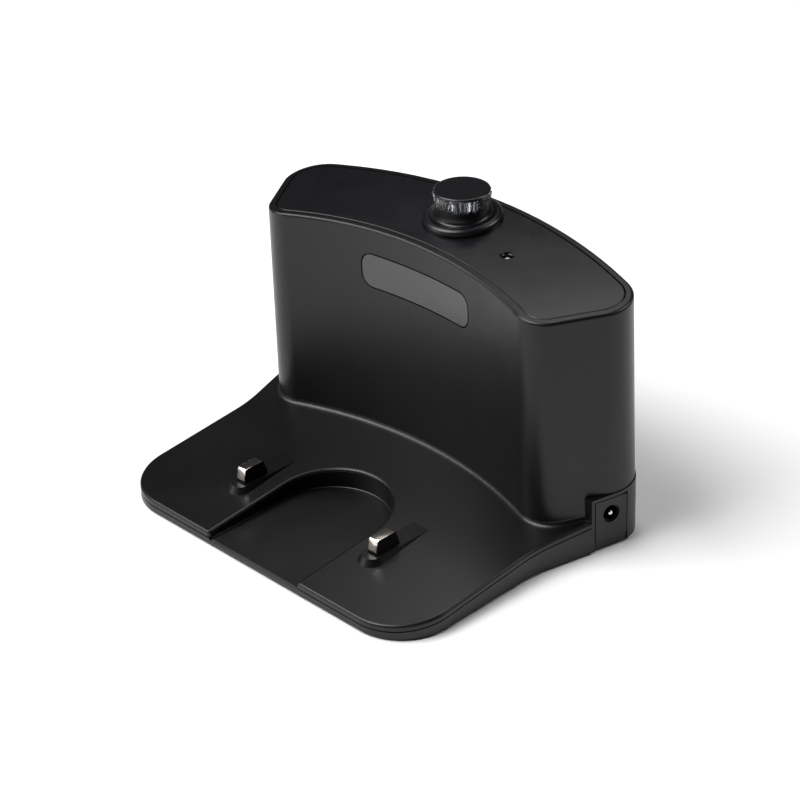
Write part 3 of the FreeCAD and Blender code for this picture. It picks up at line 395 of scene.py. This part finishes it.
class Finish(Enum):
    """Every finish on the dock."""

    HOUSING = MouldedPlastic(
        "housing_satin_black", (0.0034, 0.0034, 0.0038), roughness=0.33, specular=0.35,
    )
    TRAY = MouldedPlastic(
        "tray_satin_black", (0.0036, 0.0036, 0.0040), roughness=0.36, specular=0.40,
    )
    CAP = MouldedPlastic("cap_satin_black", (0.0036, 0.0036, 0.0048), roughness=0.30, specular=0.42)
    WINDOW = MouldedPlastic(
        "window_smooth_black", (0.0100, 0.0096, 0.0096), roughness=0.27, grain=0.05, specular=0.88,
    )
    BEACON = MouldedPlastic(
        "beacon_polished_black", (0.008, 0.008, 0.009), roughness=0.16, grain=0.03,
    )
    PLUNGER = MouldedPlastic(
        "plunger_black", (0.0030, 0.0030, 0.0032), roughness=0.36, grain=0.08, specular=0.35,
    )
    CHIP = MouldedPlastic("chip_epoxy", (0.012, 0.012, 0.012), roughness=0.5)
    NYLON = MouldedPlastic("connector_nylon", (0.72, 0.70, 0.64), roughness=0.45, grain=0.08)
    LENS = ClearResin("lens_clear", (0.95, 0.96, 0.98), roughness=0.03, transmission=0.96)
    LED = ClearResin("led_clear_resin", (0.86, 0.89, 0.95), roughness=0.08)
    INDICATOR = ClearResin("indicator_resin", (0.82, 0.78, 0.74), roughness=0.2, transmission=0.6)
    BOARD = CircuitLaminate("circuit_board")
    NICKEL = PlatedMetal("contact_nickel", (0.88, 0.84, 0.77), roughness=0.40)
    BRASS = PlatedMetal("terminal_brass", (0.72, 0.52, 0.22), roughness=0.32)
    SPRING = PlatedMetal("spring_wire", (0.58, 0.58, 0.59), roughness=0.26)
    ZINC = PlatedMetal("zinc_plate", (0.52, 0.52, 0.53), roughness=0.38)
    CAN = PlatedMetal("capacitor_can", (0.70, 0.71, 0.73), roughness=0.3)
    FERRITE = MouldedPlastic(
        "ferrite_core", (0.035, 0.035, 0.038), roughness=0.6, grain=0.3, grain_scale=1500.0,
    )
    RUBBER = SoftRubber("foot_rubber", (0.022, 0.022, 0.022))

    def material(self) -> bpy.types.Material:
        """Return this finish's material, made on first use."""
        found = bpy.data.materials.get(self.value.name)
        return found or self.value.build()

    def coat(self, mesh: bpy.types.Mesh) -> None:
        """Give a mesh this finish alone."""
        mesh.materials.clear()
        mesh.materials.append(self.material())


class Frame:
    """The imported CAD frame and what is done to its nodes."""

    def __init__(self) -> None:
        """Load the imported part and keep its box."""
        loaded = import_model()
        self.nodes: dict[str, bpy.types.Object] = loaded["nodes"]
        self.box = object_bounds()

    def dress(self, finish: Finish, *names: str) -> None:
        """Give CAD nodes a finish.

        Args:
            finish: The finish.
            names: Names of the nodes.
        """
        for name in names:
            finish.coat(self.nodes[name].data)
            LOG.info("dressed %s in %s", name, finish.value.name)


class ShapeTree(NodeGraph):
    """Geometry node tree with named size inputs, which ends in one plain mesh."""

    def __init__(self, name: str) -> None:
        """Start an empty tree."""
        super().__init__(bpy.data.node_groups.new(name, "GeometryNodeTree"))
        kind = "NodeSocketGeometry"
        self.tree.interface.new_socket("Geometry", in_out="OUTPUT", socket_type=kind)
        self.source = self.tree.nodes.new("NodeGroupInput")
        self.sizes: dict[str, object] = {}

    def size(self, name: str, value: float | int | Vector) -> Socket:
        """Add a named input.

        Args:
            name: The input's name.
            value: Its size in metres, its count or its place.

        Returns:
            The socket that gives the value inside the tree.
        """
        kinds = {int: "NodeSocketInt", float: "NodeSocketFloat", Vector: "NodeSocketVector"}
        item = self.tree.interface.new_socket(name, in_out="INPUT", socket_type=kinds[type(value)])
        self.sizes[item.identifier] = value
        return self.source.outputs[name]

    def ring(self, outer: Socket, inner: Socket, rise: object) -> Socket:
        """Closed upright wall between two plan curves.

        Args:
            outer: Curve of the outside.
            inner: Curve of the hole.
            rise: Height of the wall.

        Returns:
            The socket of the wall's mesh, with its foot at height 0.
        """
        both = self.join(outer, inner)
        flat = self.add("GeometryNodeFillCurve", Curve=both).outputs["Mesh"]
        wall = self.add("GeometryNodeExtrudeMesh", Mesh=flat, Offset=(0, 0, 1), Offset_Scale=rise)
        foot = self.add("GeometryNodeFlipFaces", Mesh=flat).outputs["Mesh"]
        closed = self.join(wall.outputs["Mesh"], foot)
        made = self.add("GeometryNodeMergeByDistance", Geometry=closed, Distance=WELD)
        return made.outputs["Geometry"]

    def join(self, *parts: Socket) -> Socket:
        """Put shapes together and return the socket of the result."""
        node = self.tree.nodes.new("GeometryNodeJoinGeometry")
        for part in reversed(parts):
            self.tree.links.new(part, node.inputs["Geometry"])
        return node.outputs["Geometry"]

    def move(self, shape: Socket, place: object) -> Socket:
        """Shift a shape and return the socket of the result."""
        made = self.add("GeometryNodeTransform", Geometry=shape, Translation=place)
        return made.outputs["Geometry"]

    def circle(self, radius: object, points: int = ROUND_POINTS) -> Socket:
        """Return the socket of a plan circle."""
        made = self.add("GeometryNodeCurvePrimitiveCircle", Resolution=points, Radius=radius)
        return made.outputs["Curve"]

    def tube(self, path: Socket, radius: object) -> Socket:
        """Return the socket of a round wire along a path."""
        section = self.circle(radius, WIRE_POINTS)
        made = self.add(
            "GeometryNodeCurveToMesh", Curve=path, Profile_Curve=section, Fill_Caps=True,
        )
        return made.outputs["Mesh"]

    def smooth(self, shape: Socket) -> Socket:
        """Shade a shape smooth and return the socket of the result."""
        return self.add("GeometryNodeSetShadeSmooth", Geometry=shape).outputs["Geometry"]

    def taper(self, shape: Socket, rise: object, shrink: object) -> Socket:
        """Draw the foot of a shape in towards its upright axis.

        Args:
            shape: Socket of the shape, with its foot at height 0.
            rise: Height of the shape.
            shrink: Share by which the foot gets narrower.

        Returns:
            The socket of the result.
        """
        place = self.add("GeometryNodeInputPosition").outputs["Position"]
        height = self.add("ShaderNodeSeparateXYZ", Vector=place).outputs["Z"]
        below = self.add(
            "ShaderNodeMapRange", Value=height, From_Max=rise, To_Min=-1.0, To_Max=0.0,
        )
        share = self.add("ShaderNodeMath", {"operation": "MULTIPLY"})
        self.fill(share.inputs[0], below.outputs["Result"])
        self.fill(share.inputs[1], shrink)
        flat = self.add("ShaderNodeVectorMath", {"operation": "MULTIPLY"})
        self.fill(flat.inputs[0], place)
        self.fill(flat.inputs[1], (1, 1, 0))
        drawn = self.add("ShaderNodeVectorMath", {"operation": "SCALE"})
        self.fill(drawn.inputs[0], flat.outputs["Vector"])
        self.fill(drawn.inputs["Scale"], share.outputs["Value"])
        made = self.add("GeometryNodeSetPosition", Geometry=shape, Offset=drawn.outputs["Vector"])
        return made.outputs["Geometry"]

    def finish(self, shape: Socket, finish: Finish, name: str) -> bpy.types.Object:
        """End the tree and turn its result into a plain mesh object.

        Args:
            shape: Socket of the finished shape.
            finish: Finish of the piece.
            name: Name of the piece.

        Returns:
            The new object, at the origin, with no modifier.
        """
        real = self.add("GeometryNodeRealizeInstances", Geometry=shape).outputs["Geometry"]
        dressed = self.add("GeometryNodeSetMaterial", Geometry=real, Material=finish.material())
        self.add("NodeGroupOutput", Geometry=dressed.outputs["Geometry"])
        piece = show(name, bpy.data.meshes.new(name))
        modifier = piece.modifiers.new(name, "NODES")
        modifier.node_group = self.tree
        for identifier, value in self.sizes.items():
            modifier[identifier] = value
        settle(piece, modifier)
        return piece


@dataclass
class Assembly(ABC):
    """Pieces that are dressed or made together."""

    frame: Frame

    @abstractmethod
    def build(self) -> None:
        """Dress or make the pieces."""


class Shells(Assembly):
    """Moulded outer shells apart from the cap: upper housing, tray, inlet plate and window."""

    def build(self) -> None:
        """Dress the shells."""
        self.frame.dress(Finish.HOUSING, "upper_housing")
        self.frame.dress(Finish.TRAY, "base_tray", "jack_panel")
        self.frame.dress(Finish.WINDOW, "ir_window")


@dataclass
class RecessRoll(Assembly):
    """Round roll where the caster recess's floor meets its wall."""

    half_width: float = 0.025
    arc_centre: float = -0.02965
    front: float = -0.0684
    floor: float = 0.003
    radius: float = 0.0006

    def build(self) -> None:
        """Make the roll along both sides and round the end."""
        tree = ShapeTree("recess_roll")
        half = tree.size("Half Width", self.half_width)
        centre = tree.size("Arc Centre", Vector((0, self.arc_centre, self.floor)))
        thickness = tree.size("Radius", self.radius)
        end = tree.add(
            "GeometryNodeCurveArc", Resolution=ARC_POINTS, Radius=half,
            Start_Angle=0.0, Sweep_Angle=math.pi,
        )
        rolls = [tree.tube(tree.move(end.outputs["Curve"], centre), thickness)]
        for side in (-1, 1):
            start = Vector((side * self.half_width, self.front, self.floor))
            stop = Vector((side * self.half_width, self.arc_centre, self.floor))
            leg = tree.add(
                "GeometryNodeCurvePrimitiveLine", Start=tree.size(f"Leg Start {side}", start),
                End=tree.size(f"Leg End {side}", stop),
            )
            rolls.append(tree.tube(leg.outputs["Curve"], thickness))
        piece = tree.finish(tree.smooth(tree.join(*rolls)), Finish.TRAY, "recess_floor_roll")
        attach(piece, ROOT_BODY)


@dataclass
class Beacon(Assembly):
    """Beacon on the tower: clear faceted lens, black disc and the emitters inside."""

    facets: int = 19
    groove: float = 0.0008
    wall: float = 0.0018
    shrink: float = 0.07
    web: float = 0.0009
    spigot_wall: float = 0.0009
    spigot_radius: float = 0.0083
    spigot_height: float = 0.003

    def build(self) -> None:
        """Dress the beacon and make its lens."""
        self.frame.dress(Finish.BEACON, "beacon_cap")
        self.frame.dress(Finish.BOARD, "beacon_board")
        self.frame.dress(Finish.LED, "beacon_leds")
        self.lens()

    def lens(self) -> None:
        """Make the clear ring, with upright facets outside and a spigot below."""
        low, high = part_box("beacon_lens")
        centre = (low + high) / 2
        radius = (high.x - low.x) / 2
        tree = ShapeTree("beacon_lens_ring")
        foot = tree.size("Foot", Vector((centre.x, centre.y, low.z + self.spigot_height)))
        under = tree.size("Spigot Foot", Vector((centre.x, centre.y, low.z)))
        star = tree.add(
            "GeometryNodeCurveStar", Points=tree.size("Facets", self.facets),
            Outer_Radius=tree.size("Radius", radius),
            Inner_Radius=tree.size("Groove Radius", radius - self.groove),
        ).outputs["Curve"]
        hole = tree.circle(tree.size("Hole Radius", radius - self.wall))
        rise = tree.size("Height", high.z - low.z - self.spigot_height)
        drawn = tree.taper(tree.ring(star, hole, rise), rise, tree.size("Foot Shrink", self.shrink))
        ring = tree.move(drawn, foot)
        throat = tree.circle(tree.size("Throat Radius", self.spigot_radius - self.spigot_wall))
        flange = tree.circle(tree.size("Web Radius", (radius - self.wall) * (1 - self.shrink)))
        web = tree.move(tree.ring(flange, throat, tree.size("Web", self.web)), foot)
        spigot_rim = tree.circle(tree.size("Spigot Radius", self.spigot_radius))
        drop = tree.size("Spigot Height", self.spigot_height)
        spigot = tree.move(tree.ring(spigot_rim, throat, drop), under)
        piece = tree.finish(tree.join(ring, web, spigot), Finish.LENS, "lens_ring")
        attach(piece, ROOT_BODY)
        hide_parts("beacon_lens")


@dataclass
class CollarBead:
    """Collar round the beacon, square to the tilted cap: a bead, a dish inside it and the neck."""

    seat: Vector
    tilt: float = math.radians(4.5)
    rim: float = 0.0159
    edge: float = 0.0022
    edge_foot: float = 0.0007
    neck: float = 0.0103
    cove: float = 0.0024
    cove_top: float = 0.0059
    crest_radius: float = 0.0138
    crest_height: float = 0.0031
    dish_pull: float = 0.0008
    side_pull: float = 0.75
    margin: float = 0.00004

    def share(self, radius: float, height: float) -> float | None:
        """Find where a point lies on the plain CAD collar.

        Args:
            radius: Distance from the collar's axis.
            height: Height above the cap along the axis.

        Returns:
            0 to 1 from the foot to the crest, 1 to 2 up the cove, or None off the collar.
        """
        inside = self.neck - self.margin < radius < self.rim + self.margin
        if not (inside and self.edge_foot - self.margin < height < self.cove_top + self.margin):
            return None
        shoulder = self.rim - self.edge
        crest = self.neck + self.cove
        arc = self.edge * math.pi / 2
        climb = self.cove_top - self.cove - self.edge_foot - self.edge
        run = arc + math.hypot(shoulder - crest, climb)
        if radius >= shoulder:
            return self.edge * math.atan2(height - self.edge_foot, radius - shoulder) / run
        if radius >= crest:
            return arc / run + (1 - arc / run) * (shoulder - radius) / (shoulder - crest)
        return 1 + math.atan2(crest - radius, self.cove_top - height) / (math.pi / 2)

    def place(self, share: float) -> tuple[Vector, Vector]:
        """Find a point on the bead's profile.

        Args:
            share: Where the point lies, as share() gives it.

        Returns:
            The point and the outward normal, as radius and height.
        """
        crest = Vector((self.crest_radius, self.crest_height))
        level = Vector((self.edge / 2, 0))
        if share < 1:
            a, d = Vector((self.rim, self.edge_foot)), crest
            b, c = Vector((self.rim, self.side_pull * self.crest_height)), crest + level
        else:
            a, d = crest, Vector((self.neck, self.cove_top))
            b, c = crest - level, Vector((self.neck, self.dish_pull))
        # A cubic curve from a to d, drawn towards b and c.
        t = share % 1 if share < 2 else 1.0
        s = 1 - t
        point = s**3 * a + 3 * s * s * t * b + 3 * s * t * t * c + t**3 * d
        run = s * s * (b - a) + 2 * s * t * (c - b) + t * t * (d - c)
        return point, Vector((run.y, -run.x)).normalized()

    def build(self, plain: bpy.types.Mesh, name: str) -> bpy.types.Object:
        """Make the cap with its rounded collar.

        Args:
            plain: Mesh of the CAD cap.
            name: Name of the piece.

        Returns:
            The new object, at the origin.
        """
        mesh = plain.copy()
        mesh.name = name
        axis = Vector((0, -math.sin(self.tilt), math.cos(self.tilt)))
        bends = [corner.vector.copy() for corner in mesh.corner_normals]
        moved: dict[int, Vector] = {}
        for vertex in mesh.vertices:
            height = (vertex.co - self.seat).dot(axis)
            arm = vertex.co - self.seat - height * axis
            share = self.share(arm.length, height)
            if share is not None:
                outward = arm.normalized()
                point, normal = self.place(share)
                vertex.co = self.seat + point.x * outward + point.y * axis
                moved[vertex.index] = normal.x * outward + normal.y * axis
        for loop in mesh.loops:
            bends[loop.index] = moved.get(loop.vertex_index, bends[loop.index])
        mesh.update()
        mesh.normals_split_custom_set(bends)
        LOG.info("made %s with %d points on the bead", name, len(moved))
        return show(name, mesh)


@dataclass
class TowerTop(Assembly):
    """Cap with its collar, and what it carries: board, screws and the indicator."""

    cap_height: float = 0.1055

    def build(self) -> None:
        """Make the cap and dress the pieces below it."""
        low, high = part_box("beacon_lens")
        seat = Vector(((low.x + high.x) / 2, (low.y + high.y) / 2, self.cap_height))
        cap = CollarBead(seat).build(self.frame.nodes["top_cap"].data, "tower_cap")
        Finish.CAP.coat(cap.data)
        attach(cap, ROOT_BODY)
        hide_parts("top_cap")
        self.frame.dress(Finish.BOARD, "top_board")
        self.frame.dress(Finish.ZINC, "top_board_screws")
        self.frame.dress(Finish.INDICATOR, "indicator_led")


@dataclass
class BentStrip:
    """Metal strip with a leaning front leg, a round bend and a flat top."""

    low: Vector
    high: Vector
    thickness: float = 0.0004
    bend: float = 0.0013
    lean: float = math.radians(10)
    edge: float = 0.00014
    edge_steps: int = 3
    edge_angle: float = math.radians(50)
    smooth_angle: float = math.radians(40)
    steps: int = 8

    def sides(self) -> tuple[list[Pair], list[Pair]]:
        """Work out the side view.

        Returns:
            Depth and height of the points along the outside and along the inside.
        """
        turn = math.pi / 2 - self.lean
        corner = self.low.y + (self.high.z - self.low.z) * math.tan(self.lean)
        centre = (corner + self.bend * math.tan(turn / 2), self.high.z - self.bend)
        outside = [(self.low.y, self.low.z)]
        inside = [(self.low.y + self.thickness, self.low.z)]
        for step in range(self.steps + 1):
            angle = math.pi / 2 + turn * (1 - step / self.steps)
            for points, radius in ((outside, self.bend), (inside, self.bend - self.thickness)):
                ahead, above = radius * math.cos(angle), radius * math.sin(angle)
                points.append((centre[0] + ahead, centre[1] + above))
        outside.append((self.high.y, self.high.z))
        inside.append((self.high.y, self.high.z - self.thickness))
        return outside, inside

    def build(self, name: str, finish: Finish) -> bpy.types.Object:
        """Make the strip with rolled edges.

        Args:
            name: Name of the piece.
            finish: Finish of the piece.

        Returns:
            The new object, at the origin, with no modifier.
        """
        sheet = bmesh.new()
        outside, inside = self.sides()
        left, right = self.low.x, self.high.x
        edges = ((left, outside), (right, outside), (right, inside), (left, inside))
        rows = [[sheet.verts.new((x, *point)) for point in side] for x, side in edges]
        for first, second in zip(rows, rows[1:] + rows[:1]):
            for step in range(len(first) - 1):
                sheet.faces.new((first[step], second[step], second[step + 1], first[step + 1]))
        for end in (0, -1):
            sheet.faces.new([row[end] for row in rows])
        bmesh.ops.recalc_face_normals(sheet, faces=sheet.faces)
        mesh = bpy.data.meshes.new(name)
        sheet.to_mesh(mesh)
        sheet.free()
        finish.coat(mesh)
        piece = show(name, mesh)
        rolled = piece.modifiers.new(name, "BEVEL")
        rolled.width, rolled.segments = self.edge, self.edge_steps
        rolled.angle_limit = self.edge_angle
        smooth = settle(piece, rolled)
        smooth.shade_smooth()
        smooth.set_sharp_from_angle(angle=self.smooth_angle)
        return piece


@dataclass
class Contacts(Assembly):
    """Sprung charging contacts: plungers, strips, springs and terminals."""

    strip_proud: Triple = (0.0001, 0.0002, 0.0001)
    wire_radius: float = 0.00018
    pitch: float = 0.0017
    travel: float = 0.0025
    steps: int = 40

    def build(self) -> None:
        """Dress both contacts and make their springs."""
        for side in ("left", "right"):
            self.frame.dress(Finish.PLUNGER, f"{side}_contact_block")
            self.frame.dress(Finish.BRASS, f"{side}_contact_terminal")
            self.strip(side)
            self.spring(side)

    def strip(self, side: str) -> None:
        """Make one plated strip, a little proud of its plunger.

        Args:
            side: Which contact.
        """
        node = f"{side}_contact_strip"
        low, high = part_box(node)
        beside, ahead, above = self.strip_proud
        front = Vector((low.x - beside, low.y - ahead, low.z))
        back = Vector((high.x + beside, high.y, high.z + above))
        piece = BentStrip(front, back).build(f"{side}_plated_strip", Finish.NICKEL)
        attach(piece, f"{side}_contact")
        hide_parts(node)

    def spring(self, side: str) -> None:
        """Make one coil spring.

        Args:
            side: Which contact.
        """
        node = f"{side}_contact_spring"
        low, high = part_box(node)
        middle = (low + high) / 2
        seat = Vector((middle.x, middle.y, low.z + self.wire_radius))
        height = high.z - low.z - 2 * self.wire_radius
        coil = (high.x - low.x) / 2 - self.wire_radius
        tree = ShapeTree(f"{side}_spring_coil")
        radius = tree.size("Coil Radius", coil)
        path = tree.add(
            "GeometryNodeCurveSpiral", Resolution=tree.size("Steps", self.steps),
            Rotations=tree.size("Turns", height / self.pitch), Start_Radius=radius,
            End_Radius=radius, Height=tree.size("Height", height),
        ).outputs["Curve"]
        seated = tree.move(path, tree.size("Seat", seat))
        wire = tree.tube(seated, tree.size("Wire Radius", self.wire_radius))
        piece = tree.finish(tree.smooth(wire), Finish.SPRING, f"{side}_coil_spring")
        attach(piece, ROOT_BODY)
        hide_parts(node)
        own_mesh(piece)


class PowerInlet(Assembly):
    """Jack on the right side and its centre pin."""

    def build(self) -> None:
        """Dress the jack."""
        self.frame.dress(Finish.PLUNGER, "dc_jack")
        self.frame.dress(Finish.NICKEL, "dc_jack_pin")


class Inside(Assembly):
    """Boards, weight, feet and screws."""

    def build(self) -> None:
        """Dress the inner pieces and what is below the tray."""
        self.frame.dress(Finish.BOARD, "main_board", "emitter_board")
        self.frame.dress(Finish.LED, "ir_emitters")
        self.frame.dress(Finish.CAN, "filter_capacitor")
        self.frame.dress(Finish.FERRITE, "power_inductor")
        self.frame.dress(Finish.CHIP, "control_chip")
        self.frame.dress(Finish.NYLON, "lead_connectors")
        self.frame.dress(Finish.ZINC, "main_board_screws", "emitter_board_screws", "ballast_plate")
        self.frame.dress(Finish.ZINC, "front_case_screws", "rear_case_screws")
        self.frame.dress(Finish.RUBBER, "rubber_feet")


@dataclass
class PhotoCamera:
    """Camera at the photograph's viewing angle."""

    azimuth: float = 46.678
    elevation: float = 30.210
    roll: float = -2.326
    eye: Triple = (0.601974, -0.556760, 0.522075)
    focal_px: float = 2443.7
    frame_px: float = 800.0
    sensor_mm: float = 36.0
    near: float = 0.01

    def build(self) -> None:
        """Make the camera and set it as the scene's."""
        data = bpy.data.cameras.new("photo_camera")
        data.sensor_width = self.sensor_mm
        data.lens = self.focal_px / self.frame_px * self.sensor_mm
        data.clip_start = self.near
        camera = show("photo_camera", data)
        turn, tilt = math.radians(self.azimuth), math.radians(self.elevation)
        level_back = Vector((math.sin(turn), -math.cos(turn), 0))
        back = math.cos(tilt) * level_back + math.sin(tilt) * Vector((0, 0, 1))
        level = (-back).to_track_quat("-Z", "Y").to_matrix().to_4x4()
        rolled = level @ Matrix.Rotation(math.radians(self.roll), 4, "Z")
        camera.matrix_world = Matrix.Translation(self.eye) @ rolled
        bpy.context.scene.camera = camera


@dataclass
class Lamp:
    """One soft box."""

    name: str
    place: Triple
    width: float
    height: float
    watts: float
    target: Triple = (0.0, 0.0, 0.05)

    def build(self) -> None:
        """Make the lamp, facing its target."""
        data = bpy.data.lights.new(self.name, "AREA")
        data.shape = "RECTANGLE"
        data.size, data.size_y = self.width, self.height
        data.energy = self.watts
        lamp = show(self.name, data)
        aim = (Vector(self.target) - Vector(self.place)).to_track_quat("-Z", "Y")
        lamp.matrix_world = Matrix.Translation(self.place) @ aim.to_matrix().to_4x4()


@dataclass
class Studio:
    """Pale floor, even room light and soft boxes."""

    floor_size: float = 12.0
    floor_colour: Colour = (0.90, 0.90, 0.90)
    floor_roughness: float = 0.9
    room_colour: Colour = (0.95, 0.97, 1.0)
    room_strength: float = 0.035

    def build(self) -> None:
        """Make the floor, the world and the lamps."""
        self.floor()
        self.room()
        for lamp in (
            Lamp(
                "ceiling_box", (-0.62, -0.90, 1.65), width=1.4, height=1.4, watts=50.0,
                target=(0.0, -0.1, 0.0),
            ),
            Lamp(
                "back_box", (-0.20, 0.25, 0.62), width=0.30, height=0.26, watts=1.1,
                target=(0.02, 0.04, 0.1),
            ),
            Lamp("left_box", (-1.0, -0.60, 0.85), width=0.5, height=0.5, watts=2.6),
            Lamp("right_box", (0.60, 0.80, 0.85), width=0.6, height=0.6, watts=5.0),
            Lamp("low_box", (-0.75, -0.95, 0.35), width=0.6, height=0.5, watts=2.0),
        ):
            lamp.build()

    def floor(self) -> None:
        """Make the floor."""
        half = self.floor_size / 2
        mesh = bpy.data.meshes.new("studio_floor")
        corners = [(-half, -half, 0), (half, -half, 0), (half, half, 0), (-half, half, 0)]
        mesh.from_pydata(corners, [], [range(len(corners))])
        floor = show("studio_floor", mesh)
        graph = SurfaceGraph("floor_paper")
        graph.set(
            Base_Color=(*self.floor_colour, 1), Roughness=self.floor_roughness,
            Specular_IOR_Level=0.0,
        )
        mesh.materials.append(graph.material)
        floor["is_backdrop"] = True

    def room(self) -> None:
        """Make the room's light."""
        world = bpy.data.worlds.new("studio_room")
        world.use_nodes = True
        background = world.node_tree.nodes["Background"]
        background.inputs["Color"].default_value = (*self.room_colour, 1)
        background.inputs["Strength"].default_value = self.room_strength
        bpy.context.scene.world = world


def main() -> None:
    """Build the dock's looks around the CAD frame."""
    logging.basicConfig(level=logging.INFO, format="%(name)s: %(message)s")
    bpy.ops.wm.read_factory_settings(use_empty=True)
    bpy.context.scene.view_settings.view_transform = "Standard"
    frame = Frame()
    for assembly in (Shells, RecessRoll, Beacon, TowerTop, Contacts, PowerInlet, Inside):
        assembly(frame).build()
    Studio().build()
    PhotoCamera().build()


if __name__ == "__main__":
    main()
